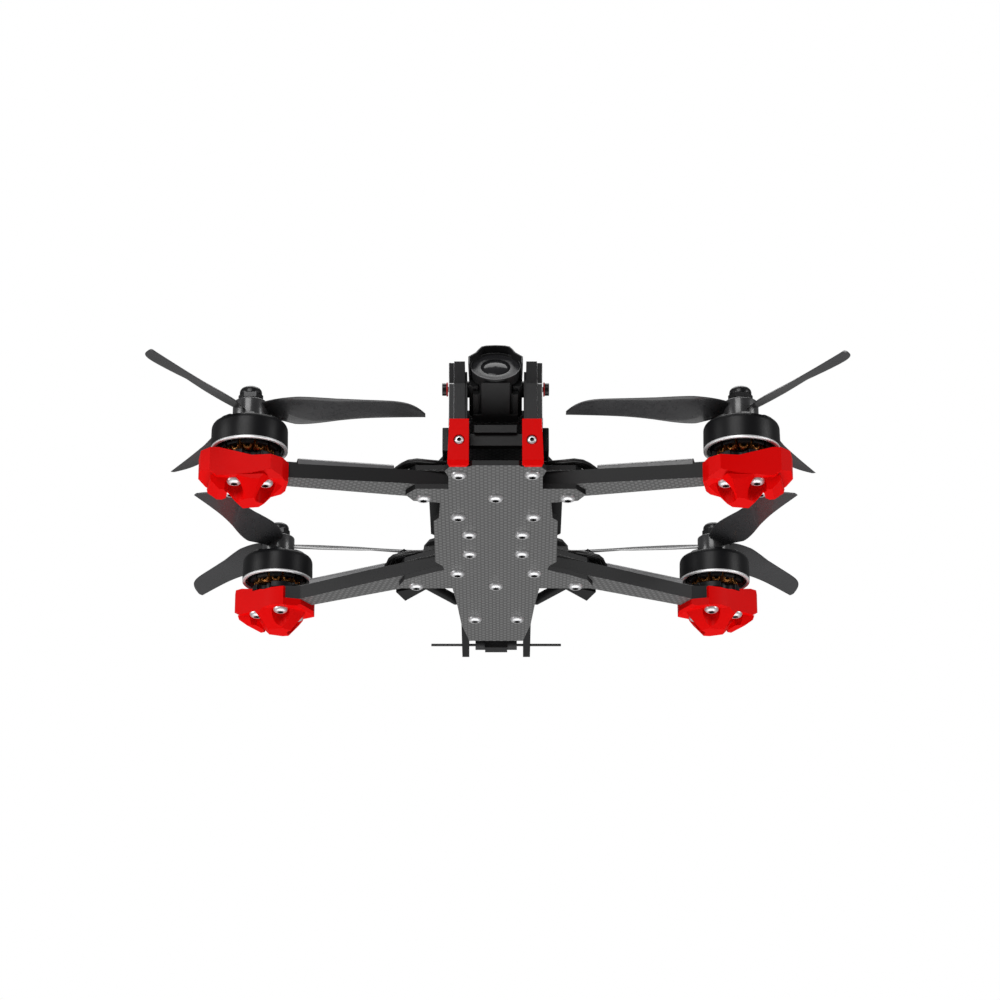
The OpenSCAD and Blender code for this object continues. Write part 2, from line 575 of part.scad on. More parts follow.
module speed_controller() color("#23262b") {
    board(mid_top + 3, 33, 1.6);
    for (x = [-12.3, 8.7]) for (y = [-6 : 4.5 : 3]) translate([x, stack_y + y, mid_top + 4.5]) cube([3.6, 3.6, 1.1]);
}

module flight_controller() color("#1b2a3a") {
    board(mid_top + 10, 30, 1.4);
    translate([-4, stack_y - 4, mid_top + 11.4]) cube([8, 8, 1.1]);
}

module video_transmitter() color("#2c2c2e") {
    translate([-14, 42, arm_top + 2.4]) cube([28, 16, 12]);
    for (k = [0 : 5]) translate([-13 + 4.8 * k, 43, arm_top + 14.4]) cube([2, 14, 3]);
    // feet on the mid plate
    translate([-9, 42, mid_top]) cube([18, 7, 0.5]);
}

module battery_pad() color("#222222") difference() {
    translate([-11.5, -20, deck_z]) cube([23, 76, 1.5]);
    for (k = [0 : 13]) translate([-10, -17.5 + 5.2 * k, deck_z + 0.9]) cube([20, 2, 1]);
}

module battery_connector() color("#d9a300") {
    difference() {
        translate([-8, 84, top_z - 10]) cube([16, 18, 8]);
        for (x = [-3.6, 3.6]) translate([x, 92, top_z - 6]) rotate([-90, 0, 0]) cylinder(r = 2.4, h = 12);
    }
    // bracket up to the top plate
    translate([-rail_in, 86, top_z - 2]) cube([2 * rail_in, 12, 2]);
}

// ---------- drawing ----------
belly_plate();
mid_plate();
top_plate();
for (c = CORNERS) {
    arm(c);
    arm_guard(c);
    motor_base(c);
    stator(c);
    motor_bell(c);
    propeller(c);
    prop_nut(c);
}
for (s = SIDES) {
    camera_cheek(s);
    camera_side_plate(s);
    front_bumper(s);
    side_panel(s);
    rear_fairing(s);
}
wire_covers();
motor_wires();
motor_screws();
frame_screws();
lock_nuts();
standoffs();
nose_bulkhead();
camera_housing();
camera_lens();
tilt_screws();
tilt_washers();
speed_controller();
flight_controller();
video_transmitter();
tail_rails();
antenna_holder();
receiver_antenna();
battery_pad();
battery_connector();
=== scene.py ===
"""Looks of the racing quadcopter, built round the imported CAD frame. Metres, +Z up, nose towards -Y."""
import json
import math

import bmesh
import bpy
from mathutils import Matrix, Vector

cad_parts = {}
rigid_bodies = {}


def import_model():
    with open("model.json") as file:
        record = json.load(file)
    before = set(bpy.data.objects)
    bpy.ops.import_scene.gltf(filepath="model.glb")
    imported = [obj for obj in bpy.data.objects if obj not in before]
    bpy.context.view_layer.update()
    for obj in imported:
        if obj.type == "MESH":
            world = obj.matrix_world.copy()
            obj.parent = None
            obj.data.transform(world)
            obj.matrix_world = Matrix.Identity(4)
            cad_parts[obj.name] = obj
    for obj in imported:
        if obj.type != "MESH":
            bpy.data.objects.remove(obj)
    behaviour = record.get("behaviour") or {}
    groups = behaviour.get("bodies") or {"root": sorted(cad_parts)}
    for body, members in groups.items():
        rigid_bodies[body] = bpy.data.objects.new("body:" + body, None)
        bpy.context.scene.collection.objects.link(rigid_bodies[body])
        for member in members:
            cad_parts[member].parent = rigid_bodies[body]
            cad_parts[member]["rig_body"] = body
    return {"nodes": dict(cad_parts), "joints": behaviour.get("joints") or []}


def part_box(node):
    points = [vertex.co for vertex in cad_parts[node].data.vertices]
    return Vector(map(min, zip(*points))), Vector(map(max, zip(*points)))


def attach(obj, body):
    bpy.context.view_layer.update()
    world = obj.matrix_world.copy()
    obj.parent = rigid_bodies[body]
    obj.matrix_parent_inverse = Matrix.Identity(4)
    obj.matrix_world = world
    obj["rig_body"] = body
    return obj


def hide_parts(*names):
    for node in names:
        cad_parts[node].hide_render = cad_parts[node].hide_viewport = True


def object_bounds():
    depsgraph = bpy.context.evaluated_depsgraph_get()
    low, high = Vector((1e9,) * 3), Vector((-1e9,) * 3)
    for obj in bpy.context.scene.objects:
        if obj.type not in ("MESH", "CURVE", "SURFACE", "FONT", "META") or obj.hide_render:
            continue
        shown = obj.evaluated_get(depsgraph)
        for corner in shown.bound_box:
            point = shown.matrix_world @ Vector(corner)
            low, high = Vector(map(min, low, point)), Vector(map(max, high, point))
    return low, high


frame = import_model()
cad_low, cad_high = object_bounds()
nodes = frame["nodes"]

MM = 0.001
SIDES = ("left", "right")
CORNERS = ("front_left", "front_right", "rear_left", "rear_right")
SPIN = {j["child"]: j for j in frame["joints"] if j["child"].startswith("rotor_")}
TILT = next(j for j in frame["joints"] if j["child"] == "camera")
FRONT_SWEEP, REAR_SWEEP = 10, 30     # degrees that an arm turns from the sideways axis
CAMERA_TILT = 34                     # degrees that the nose camera looks up at rest
TOW = 1.45                           # width of one tow of the carbon weave, mm
PLIES_PER_MM = 4                     # layers seen in the cut edge of a carbon plate
TEETH, MAGNETS, SPOKES = 12, 14, 8   # of each motor
BELL_TALL = 11.5 * MM                # the bell from its lower rim to its roof


# ---------------------------------------------------------------- materials
class Shader:
    """A node tree with one Principled shader, and short ways to add nodes to it."""

    def __init__(self, name, **sockets):
        self.material = bpy.data.materials.new(name)
        self.material.use_nodes = True
        self.tree = self.material.node_tree
        self.bsdf = self.tree.nodes["Principled BSDF"]
        for key, value in sockets.items():
            label = key.replace("_", " ")
            if isinstance(value, tuple):
                value = (*value, 1.0)[:4]
            self.bsdf.inputs[label].default_value = value

    def node(self, kind, **inputs):
        made = self.tree.nodes.new("ShaderNode" + kind)
        for key, value in inputs.items():
            self.feed(made.inputs[key.replace("_", " ")], value)
        return made

    def feed(self, socket, value):
        if isinstance(value, bpy.types.NodeSocket):
            self.tree.links.new(value, socket)
        else:
            socket.default_value = value

    def math(self, operation, a, b=0.0):
        made = self.tree.nodes.new("ShaderNodeMath")
        made.operation = operation
        self.feed(made.inputs[0], a)
        self.feed(made.inputs[1], b)
        return made.outputs[0]

    def mix(self, factor, a, b):
        made = self.tree.nodes.new("ShaderNodeMix")
        made.data_type = "RGBA"
        self.feed(made.inputs["Factor"], factor)
        for name, value in (("A", a), ("B", b)):
            socket = next(s for s in made.inputs if s.name == name and s.type == "RGBA")
            if not isinstance(value, bpy.types.NodeSocket):
                value = (*value, 1.0)[:4]
            self.feed(socket, value)
        return next(s for s in made.outputs if s.type == "RGBA")

    def coords(self, turn=0.0):
        """Object coordinates in millimetres, turned about Z."""
        where = self.node("TexCoord").outputs["Object"]
        made = self.node("Mapping", Vector=where)
        made.inputs["Rotation"].default_value = (0, 0, math.radians(turn))
        made.inputs["Scale"].default_value = (1 / MM,) * 3
        return made.outputs[0]

    def noise(self, vector, scale, detail):
        made = self.node("TexNoise", Vector=vector, Scale=scale, Detail=detail, Roughness=0.5)
        return made.outputs["Fac"]

    def between(self, value, low, high, to_low, to_high):
        made = self.tree.nodes.new("ShaderNodeMapRange")
        self.feed(made.inputs["Value"], value)
        ends = {"From Min": low, "From Max": high, "To Min": to_low, "To Max": to_high}
        for key, number in ends.items():
            made.inputs[key].default_value = number
        return made.outputs[0]

    def bump(self, height, distance, strength=1.0):
        made = self.node("Bump", Height=height)
        made.inputs["Strength"].default_value = strength
        made.inputs["Distance"].default_value = distance
        self.tree.links.new(made.outputs[0], self.bsdf.inputs["Normal"])

    def colour(self, socket):
        self.tree.links.new(socket, self.bsdf.inputs["Base Color"])

    def roughness(self, socket):
        self.tree.links.new(socket, self.bsdf.inputs["Roughness"])


def plain(name, colour, rough, metal=0.0, grain=1.2, vary=0.12, depth=0.01, **more):
    """Moulded or machined stock: slight colour drift, uneven gloss and a fine grain."""
    s = Shader(name, Metallic=metal, **more)
    where = s.coords()
    drift = s.noise(where, 0.09, 4)
    fine = s.noise(where, grain, 2)
    dark = tuple(c * (1 - vary) for c in colour)
    light = tuple(min(1, c * (1 + vary)) for c in colour)
    s.colour(s.mix(drift, dark, light))
    s.roughness(s.between(fine, 0.3, 0.7, rough * 0.85, min(1, rough * 1.15)))
    s.bump(fine, depth * MM)
    return s.material


def carbon(name, turn, face="Z"):
    """Plain-woven carbon on the faces that look along one axis, and dark layered edges elsewhere."""
    s = Shader(name, Metallic=0.0, Specular_IOR_Level=0.3)
    where = s.coords(turn)
    parts = s.node("SeparateXYZ", Vector=where)
    across, along = ("X", "Y") if face == "Z" else ("Y", "Z")
    u = s.math("DIVIDE", parts.outputs[across], TOW)
    v = s.math("DIVIDE", parts.outputs[along], TOW)
    step = s.math("ADD", s.math("FLOOR", u), s.math("FLOOR", v))
    phase = s.math("MODULO", s.math("ADD", step, 4000), 2)
    warp = s.math("LESS_THAN", phase, 0.5)

    def crown(t):
        edge = s.math("ABSOLUTE", s.math("SUBTRACT", s.math("MULTIPLY", s.math("FRACT", t), 2), 1))
        return s.math("SUBTRACT", 1, s.math("POWER", edge, 2.4))

    height = s.math("ADD", s.math("MULTIPLY", crown(u), warp),
                    s.math("MULTIPLY", crown(v), s.math("SUBTRACT", 1, warp)))
    fibre = s.noise(where, 2.2, 3)
    # the two directions of tow catch the light differently
    tone = s.mix(warp, (0.1,) * 3, (0.175,) * 3)
    # each tow is painted darker towards its edges, where it dips beside the next: painted shade in the
    # creases of the weave
    tone = s.mix(s.between(height, 0.1, 0.8, 0, 1), (0.06,) * 3, tone)
    tone = s.mix(s.between(fibre, 0.35, 0.65, 0, 0.2), tone, (0.16,) * 3)
    normal = s.node("NewGeometry").outputs["Normal"]
    facing = s.node("SeparateXYZ", Vector=normal).outputs[face]
    flat = s.math("GREATER_THAN", s.math("ABSOLUTE", facing), 0.72)
    ply = s.math("FRACT", s.math("MULTIPLY", parts.outputs[face], PLIES_PER_MM))
    edge = s.mix(ply, (0.004, 0.004, 0.0045), (0.01, 0.01, 0.011))
    s.colour(s.mix(flat, edge, tone))
    s.roughness(s.between(flat, 0, 1, 0.5, 0.42))
    s.bump(s.math("MULTIPLY", height, flat), 0.05 * MM, 0.7)
    return s.material


RED = (0.8, 0.0, 0.0)
red = plain("guard_red", RED, 0.45, grain=2.5, vary=0.04, depth=0.012,
            Specular_IOR_Level=0.06)
red_washer = plain("washer_red", (0.5, 0.01, 0.01), 0.5)
anodised = plain("anodised_black", (0.005, 0.005, 0.006), 0.38, grain=3.5, depth=0.004,
                 Specular_IOR_Level=0.22)
anodised_matt = plain("anodised_matt", (0.006, 0.006, 0.007), 0.5, metal=0.1, grain=3.5, depth=0.004)
polished = plain("polished_edge", (0.9, 0.9, 0.91), 0.4, metal=0.5, vary=0.04, depth=0.003)
bright_edge = plain("bright_chamfer", (0.85, 0.85, 0.86), 0.45, metal=0.0, vary=0.03, depth=0.003)
steel = plain("screw_steel", (0.74, 0.74, 0.75), 0.42, metal=0.75, vary=0.08, depth=0.004)
# the hex sockets are painted near black: painted shade in the recess of the steel heads
socket_painted_shade = plain("screw_socket", (0.04, 0.04, 0.04), 0.5, metal=0.6)
black_steel = plain("black_steel", (0.01, 0.01, 0.011), 0.3, metal=0.4, depth=0.005)
moulded = plain("moulded_black", (0.009, 0.009, 0.0095), 0.42, grain=2.0, depth=0.012,
                Specular_IOR_Level=0.25)
moulded_soft = plain("moulded_grey", (0.02, 0.02, 0.021), 0.5, grain=2.0, depth=0.012,
                     Specular_IOR_Level=0.3)
cover_grey = plain("cover_grey", (0.16, 0.16, 0.165), 0.38, grain=0.9, vary=0.35, depth=0.03)
blade_grey = plain("blade_grey", (0.035, 0.035, 0.037), 0.3, grain=0.6, vary=0.12, depth=0.006,
                   Coat_Weight=0.3)
wire_black = plain("wire_black", (0.008, 0.008, 0.008), 0.38, depth=0.01)
lamination = plain("lamination", (0.03, 0.03, 0.032), 0.45, metal=0.7)
board = plain("circuit_board", (0.012, 0.02, 0.035), 0.4, vary=0.3)
rubber = plain("rubber_pad", (0.02, 0.02, 0.02), 0.75, grain=1.5, depth=0.05)
yellow = plain("connector_yellow", (0.75, 0.42, 0.01), 0.35)
lens_glass = plain("lens_glass", (0.016, 0.016, 0.018), 0.12, depth=0.0, Specular_IOR_Level=0.25)
lens_deep = plain("lens_deep", (0.022, 0.022, 0.024), 0.3, depth=0.0, Specular_IOR_Level=0.3)
carbon_body = carbon("carbon_body", 0)
carbon_rail = carbon("carbon_rail", 0, face="X")
carbon_arm = {c: carbon("carbon_" + c, (-1 if "left" in c else 1) *
                        (FRONT_SWEEP if "front" in c else -REAR_SWEEP)) for c in CORNERS}


def copper_windings():
    s = Shader("copper_windings", Metallic=0.85)
    where = s.coords()
    wave = s.node("TexWave", Vector=where, Scale=0.55, Distortion=0.6)
    wave.bands_direction = "Z"
    s.colour(s.mix(wave.outputs["Fac"], (0.16, 0.05, 0.012), (0.62, 0.27, 0.07)))
    s.roughness(s.between(wave.outputs["Fac"], 0, 1, 0.5, 0.24))
    s.bump(wave.outputs["Fac"], 0.12 * MM)
    return s.material


copper = copper_windings()


# ---------------------------------------------------------------- mesh helpers
def add(name, mesh, materials, body, replaced=()):
    obj = bpy.data.objects.new(name, mesh)
    bpy.context.scene.collection.objects.link(obj)
    for m in materials:
        mesh.materials.append(m)
    mesh.polygons.foreach_set("use_smooth", [True] * len(mesh.polygons))
    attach(obj, body)
    if replaced:
        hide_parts(*replaced)
    return obj


def bevel(obj, width, segments=2, angle=28, material=-1):
    m = obj.modifiers.new("bevel", "BEVEL")
    m.width, m.segments, m.limit_method = width, segments, "ANGLE"
    m.angle_limit = math.radians(angle)
    m.harden_normals = True
    m.miter_outer = "MITER_ARC"
    m.material = material
    return obj


def node_mesh(node, name, join=True):
    """A clean copy of a CAD node's surface; its flat faces are joined up again unless join is off."""
    bm = bmesh.new()
    bm.from_mesh(nodes[node].data)
    bmesh.ops.remove_doubles(bm, verts=bm.verts, dist=2e-6)
    if join:
        bmesh.ops.dissolve_limit(bm, angle_limit=math.radians(0.4), verts=bm.verts, edges=bm.edges)
    bm.verts.index_update()
    mesh = bpy.data.meshes.new(name)
    mesh.from_pydata([v.co[:] for v in bm.verts], [], [[v.index for v in f.verts] for f in bm.faces])
    bm.free()
    return mesh


def body_of(node):
    return nodes[node]["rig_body"]


def edged(node, material, width, segments=2, trim=None):
    """The CAD node with its edges broken; the edge faces may have a metal of their own."""
    name = node + "_finished"
    made = add(name, node_mesh(node, name), [material] + ([trim] if trim else []),
               body_of(node), [node])
    return bevel(made, width, segments, material=1 if trim else -1)


def islands(node):
    """Boxes of the separate solids in one node, each as (low, high)."""
    bm = bmesh.new()
    bm.from_mesh(nodes[node].data)
    bmesh.ops.remove_doubles(bm, verts=bm.verts, dist=2e-6)
    left, found = set(bm.verts), []
    while left:
        todo, group = [left.pop()], []
        while todo:
            v = todo.pop()
            group.append(v.co.copy())
            for e in v.link_edges:
                w = e.other_vert(v)
                if w in left:
                    left.remove(w)
                    todo.append(w)
        low = Vector([min(c[i] for c in group) for i in range(3)])
        high = Vector([max(c[i] for c in group) for i in range(3)])
        found.append((low, high))
    bm.free()
    return sorted(found, key=lambda b: tuple(round(c, 5) for c in b[0]))


class Builder:
    """Collects vertices, faces and material indices of one mesh."""

    def __init__(self):
        self.verts, self.faces, self.index = [], [], []

    def quad_rings(self, rings, closed=True, material=0, cap=(False, False)):
        start, n = len(self.verts), len(rings[0])
        for ring in rings:
            self.verts += [tuple(p) for p in ring]
        turn = n if closed else n - 1
        for i in range(len(rings) - 1):
            for k in range(turn):
                a, b = start + i * n + k, start + i * n + (k + 1) % n
                self.face([a, b, b + n, a + n], material)
        if cap[0]:
            self.face([start + k for k in reversed(range(n))], material)
        if cap[1]:
            self.face([start + (len(rings) - 1) * n + k for k in range(n)], material)

    def face(self, corners, material=0):
        self.faces.append(corners)
        self.index.append(material)

    def lathe(self, profile, segments, place, material=0, cap=(False, False)):
        """Turns (radius, height) points about the place's own Z."""
        rings = []
        for r, h in profile:
            rings.append([place @ Vector((r * math.cos(t), r * math.sin(t), h))
                          for t in (2 * math.pi * k / segments for k in range(segments))])
        self.quad_rings(rings, material=material, cap=cap)

    def prism(self, outline, low, high, place):
        rings = [[place @ Vector((x, y, h)) for x, y in outline] for h in (low, high)]
        self.quad_rings(rings, cap=(True, True))

    def mesh(self, name):
        made = bpy.data.meshes.new(name)
        made.from_pydata(self.verts, [], self.faces)
        made.polygons.foreach_set("material_index", self.index)
        bm = bmesh.new()
        bm.from_mesh(made)
        bmesh.ops.recalc_face_normals(bm, faces=bm.faces)
        bm.to_mesh(made)
        bm.free()
        return made


def arc(cx, cy, r, start, end, steps):
    return [(cx + r * math.cos(math.radians(start + (end - start) * k / steps)),
             cy + r * math.sin(math.radians(start + (end - start) * k / steps))) for k in range(steps + 1)]


def sharp(obj, angle=35):
    obj.data.set_sharp_from_angle(angle=math.radians(angle))
    return obj


# ---------------------------------------------------------------- frame, arms and guards
edged("belly_plate", carbon_body, 0.18 * MM)
edged("mid_plate", carbon_body, 0.15 * MM)
edged("top_plate", carbon_body, 0.2 * MM)
edged("tail_rails", carbon_rail, 0.2 * MM)
for c in CORNERS:
    edged("arm_" + c, carbon_arm[c], 0.25 * MM)
    edged("arm_guard_" + c, red, 0.4 * MM, 3)
    edged("motor_base_" + c, anodised, 0.25 * MM)
for side in SIDES:
    edged("camera_cheek_" + side, moulded_soft, 0.35 * MM, 3)
    edged("camera_side_plate_" + side, anodised_matt, 0.6 * MM, 1, trim=bright_edge)
    edged("front_bumper_" + side, red, 0.5 * MM, 3)
    edged("side_panel_" + side, moulded, 0.5 * MM, 3)
    edged("rear_fairing_" + side, moulded, 0.6 * MM, 3)
edged("wire_covers", cover_grey, 0.35 * MM, 3)
edged("standoffs", anodised_matt, 0.2 * MM)
edged("nose_bulkhead", moulded, 0.5 * MM, 3)
edged("lock_nuts", black_steel, 0.3 * MM)
edged("speed_controller", board, 0.1 * MM)
edged("flight_controller", board, 0.1 * MM)
edged("video_transmitter", anodised_matt, 0.25 * MM)
edged("antenna_holder", moulded_soft, 0.5 * MM, 3)
# the grooved pad keeps its triangles: one face round all the grooves doesn't fill cleanly
sharp(add("battery_pad_finished", node_mesh("battery_pad", "battery_pad_finished", join=False), [rubber],
          body_of("battery_pad"), ["battery_pad"]), 30)
edged("battery_connector", yellow, 0.5 * MM, 3)
edged("tilt_screws", black_steel, 0.3 * MM, 3)
edged("tilt_washers", red_washer, 0.12 * MM)
edged("receiver_antenna", wire_black, 0.15 * MM)
sharp(add("motor_wires_finished", node_mesh("motor_wires", "motor_wires_finished"), [wire_black],
          body_of("motor_wires"), ["motor_wires"]), 50)


# ---------------------------------------------------------------- screws
def button_head(build, place, radius, height):
    """Domed head with a hexagon socket; the place's Z points out of the head."""
    steps, around = 7, 36
    turns = [2 * math.pi * k / around for k in range(around)]
    dome = [(radius, 0.0), (radius, height * 0.12)]
    dome += [(radius * (0.5 + 0.5 * math.cos(t)), height * (0.12 + 0.88 * math.sin(t)))
             for t in (math.radians(80) * k / steps for k in range(1, steps + 1))]
    build.lathe(dome, around, place)
    socket = radius * 0.47
    rim_r, rim_h = dome[-1]
    inner = []
    for t in turns:
        a = (t + math.pi / 6) % (math.pi / 3) - math.pi / 6
        r = socket * math.cos(math.pi / 6) / math.cos(a)
        inner.append((r * math.cos(t), r * math.sin(t)))
    edge = [place @ Vector((rim_r * math.cos(t), rim_r * math.sin(t), rim_h)) for t in turns]
    mouth = [place @ Vector((x, y, height)) for x, y in inner]
    floor = [place @ Vector((x * 0.96, y * 0.96, height * 0.35)) for x, y in inner]
    build.quad_rings([edge, mouth])
    # the socket walls and floor take the second material, painted near black as shade in the recess
    build.quad_rings([mouth, floor], material=1, cap=(False, True))


def screws(node):
    build = Builder()
    for low, high in islands(node):
        size = high - low
        axis = max(range(3), key=lambda i: size[i])
        wide = min(size[i] for i in range(3) if i != axis) / 2
        centre = (low + high) / 2
        # heads point down, except on the deck and on the nose
        if axis == 2:
            up = centre.z > 0.5 * cad_high.z
            out = Vector((0, 0, 1 if up else -1))
        else:
            out = Vector((0, -1, 0))
        head = wide * 0.58 if axis == 2 else wide * 0.72
        outer = high if out[axis] > 0 else low
        seat = centre.copy()
        seat[axis] = outer[axis] - out[axis] * head
        place = Matrix.Translation(seat) @ out.to_track_quat("Z", "Y").to_matrix().to_4x4()
        button_head(build, place, wide, head)
        shank = wide * 0.526
        build.lathe([(shank, 0.0), (shank, -(size[axis] - head))], 20, place, cap=(False, True))
    made = add(node + "_finished", build.mesh(node), [steel, socket_painted_shade],
               body_of(node), [node])
    return sharp(made, 30)


screws("frame_screws")
screws("motor_screws")


# ---------------------------------------------------------------- motors
def stator(c):
    node = "stator_" + c
    low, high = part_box(node)
    centre = (low + high) / 2
    tall = high.z - low.z
    place = Matrix.Translation((centre.x, centre.y, low.z))
    core, coils = Builder(), Builder()
    core.lathe([(4.1 * MM, 0), (5.6 * MM, 0), (5.6 * MM, tall), (4.1 * MM, tall), (4.1 * MM, 0)],
               40, place)
    for k in range(TEETH):
        turn = place @ Matrix.Rotation(math.radians(360 / TEETH * k), 4, "Z")
        neck = [(5 * MM, -0.8 * MM), (9.4 * MM, -0.8 * MM), (9.4 * MM, 0.8 * MM), (5 * MM, 0.8 * MM)]
        core.prism(neck, 1.8 * MM, tall - 1.8 * MM, turn)
        tip = [(r * MM * math.cos(math.radians(a)), r * MM * math.sin(math.radians(a)))
               for r, a in ((9.3, -11), (11.05, -12), (11.05, 0), (11.05, 12), (9.3, 11))]
        core.prism(tip, 1.6 * MM, tall - 1.6 * MM, turn)
        # wound coil: a rounded loop with the strands as shallow ridges
        for j in range(4):
            x = (5.9 + 0.95 * j) * MM
            half_w = (1.25 + 0.1 * j) * MM
            half_h = tall / 2 - 0.35 * MM - 0.12 * MM * (3 - j)
            loop = []
            for q in range(16):
                t = 2 * math.pi * q / 16
                cx = math.copysign(abs(math.cos(t)) ** 0.6, math.cos(t)) * half_w
                cz = math.copysign(abs(math.sin(t)) ** 0.6, math.sin(t)) * half_h
                loop.append((cx, cz))
            rings = []
            for q in range(8):
                t = 2 * math.pi * q / 8
                grow, shift = 0.42 * MM * math.cos(t), 0.47 * MM * math.sin(t)
                rings.append([turn @ Vector((x + shift, cx * (1 + grow / half_w),
                                             tall / 2 + cz * (1 + grow / half_h))) for cx, cz in loop])
            coils.quad_rings(rings + [rings[0]])
    sharp(add(node + "_core", core.mesh(node + "_core"), [lamination],
              body_of(node), [node]))
    add(node + "_windings", coils.mesh(node + "_windings"), [copper],
        body_of(node), [node])


def bell(c):
    """A turned can with a spoked roof, a bright ring at its lower rim, its magnets and the shaft."""
    node = "motor_bell_" + c
    low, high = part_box(node)
    x, y = (low.x + high.x) / 2, (low.y + high.y) / 2
    radius = (high.x - low.x) / 2
    rim_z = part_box("stator_" + c)[0].z + 2.3 * MM
    place = Matrix.Translation((x, y, rim_z))
    tall = BELL_TALL
    wide, high_part = 4.6 * MM, 3.4 * MM
    slim = 0.12 * MM                  # the can narrows a little towards its roof
    outer = [(radius, 0.7 * MM), (radius - 0.2 * slim, 2.0 * MM),
             (radius - 0.5 * slim, 4.5 * MM), (radius - slim, tall - high_part)]
    outer += [(radius - slim - wide * (1 - math.cos(t)), tall - high_part * (1 - math.sin(t)))
              for t in (math.radians(11 * k) for k in range(1, 8))]
    outer += [(radius - wide, tall), (8.0 * MM, tall), (6.9 * MM, tall), (6.6 * MM, tall)]
    segments = 96
    build = Builder()
    for r, h in outer:
        build.verts += [tuple(place @ Vector((r * math.cos(t), r * math.sin(t), h)))
                        for t in (2 * math.pi * k / segments for k in range(segments))]
    each = segments // SPOKES
    for i in range(len(outer) - 1):
        inside = outer[i][1] > tall - 1.6 * MM and outer[i + 1][0] >= 7.9 * MM
        for k in range(segments):
            if inside and 3 <= k % each < each - 1:
                continue
            a, b = i * segments + k, i * segments + (k + 1) % segments
            build.face([a, b, b + segments, a + segments])
    made = add(node + "_can", build.mesh(node + "_can"), [anodised],
               body_of(node), [node])
    solid = made.modifiers.new("wall", "SOLIDIFY")
    solid.thickness, solid.offset = 1.5 * MM, -1
    bevel(made, 0.22 * MM, 2, 40)
    ring = Builder()
    inner = radius - 2.3 * MM
    ring.lathe([(radius - 1.45 * MM, 0.9 * MM), (radius - 0.1 * MM, 0.9 * MM),
                (radius - 0.02 * MM, 0.75 * MM), (radius - 0.02 * MM, 0.2 * MM),
                (radius - 0.25 * MM, 0.0), (radius - 1.1 * MM, 0.0),
                (radius - 1.3 * MM, 0.25 * MM), (radius - 1.45 * MM, 0.9 * MM)], segments, place)
    sharp(add(node + "_ring", ring.mesh(node + "_ring"), [polished],
              body_of(node), [node]), 40)
    # magnets inside the can
    magnets = Builder()
    for k in range(MAGNETS):
        a0, a1 = 360 / MAGNETS * k + 2, 360 / MAGNETS * (k + 1) - 2
        outline = arc(0, 0, radius - 1.5 * MM, a0, a1, 4) + arc(0, 0, inner, a1, a0, 4)
        magnets.prism(outline, 0.9 * MM, tall - 2.6 * MM, place)
    sharp(add(node + "_magnets", magnets.mesh(node + "_magnets"), [lamination],
              body_of(node), [node]))
    shaft = Builder()
    bottom, top = low.z - rim_z, high.z - rim_z
    shaft.lathe([(2 * MM, bottom), (2 * MM, tall - 1 * MM), (2.5 * MM, tall - 0.5 * MM),
                 (2.5 * MM, top - 0.5 * MM), (2.1 * MM, top)], 40, place, cap=(True, True))
    shaft.lathe([(2.5 * MM, tall - 1.4 * MM), (6.7 * MM, tall - 1.4 * MM), (6.7 * MM, tall),
                 (2.5 * MM, tall)], 40, place, material=1)
    sharp(add(node + "_shaft", shaft.mesh(node + "_shaft"), [steel, anodised],
              body_of(node), [node]), 30)


# ---------------------------------------------------------------- propellers
PROP_R = 64.2                        # mm
PITCH = 96                           # mm of travel in one turn


def fuller(s):
    return 1 + 0.21 * min(1, max(0, (0.5 - s) / 0.22))


def leading(s):
    return fuller(s) * (7.2 - 5 * math.exp(-s / 0.12) - 7.5 * max(0, (s - 0.66) / 0.34) ** 5)


def trailing(s):
    return -fuller(s) * (2.4 + 2.1 * math.exp(-((s - 0.32) / 0.24) ** 2)) * min(1, 0.25 + 3 * s)


def blade_section(s, spin, points):
    half, middle = max(leading(s) - trailing(s), 0.6) / 2, (leading(s) + trailing(s)) / 2
    thick = 2 - 1.15 * s
    angle = min(math.radians(25), math.atan(PITCH / (2 * math.pi * PROP_R * s)))
    ring = []
    for k in range(points):
        w = 2 * math.pi * k / points
        x = middle + half * math.cos(w)
        z = thick / 2 * math.sin(w) * (0.8 + 0.2 * math.cos(w)) + 0.08 * half * math.sin(w) ** 2
        ring.append(Vector((s * PROP_R, spin * (x * math.cos(angle) - z * math.sin(angle)),
                            x * math.sin(angle) + z * math.cos(angle))) * MM)
    return ring


def propeller(c):
    node = "propeller_" + c
    joint = SPIN["rotor_" + c]
    spin = 1 if joint["axis"][2] > 0 else -1
    first = {"front_left": 120, "front_right": 62, "rear_left": 125, "rear_right": 55}[c]
    hub_r, hub_h = 6.5 * MM, 7.7 * MM
    x, y = joint["pos_m"][0], joint["pos_m"][1]
    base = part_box("prop_nut_" + c)[0].z - hub_h
    build = Builder()
    # even steps along the blade, closer together where the tip rounds off
    stations = [0.085 + 0.0208 * i for i in range(39)]
    stations += [0.89, 0.905, 0.92, 0.935, 0.95, 0.962, 0.974, 0.984, 0.992, 0.998, 1.0]
    for k in range(3):
        turn = Matrix.Rotation(math.radians(first + 120 * k), 4, "Z")
        place = Matrix.Translation((x, y, base + hub_h / 2)) @ turn
        rings = [[place @ p for p in blade_section(s, spin, 28)] for s in stations]
        build.quad_rings(rings, cap=(True, True))
    place = Matrix.Translation((x, y, base))
    soft = 0.5 * MM
    hub = [(2.55 * MM, 0.0), (4.2 * MM, 0.0), (4.4 * MM, 0.3 * MM), (5.2 * MM, 0.3 * MM),
           (5.4 * MM, 0.0), (hub_r - soft, 0.0)]
    hub += arc(hub_r - soft, soft, soft, -80, 0, 4)
    hub += arc(hub_r - soft, hub_h - soft, soft, 0, 90, 4)
    hub += [(4.9 * MM, hub_h), (2.55 * MM, hub_h), (2.55 * MM, 0.0)]
    build.lathe(hub, 56, place)
    sharp(add(node + "_finished", build.mesh(node), [blade_grey],
              body_of(node), [node]), 32)


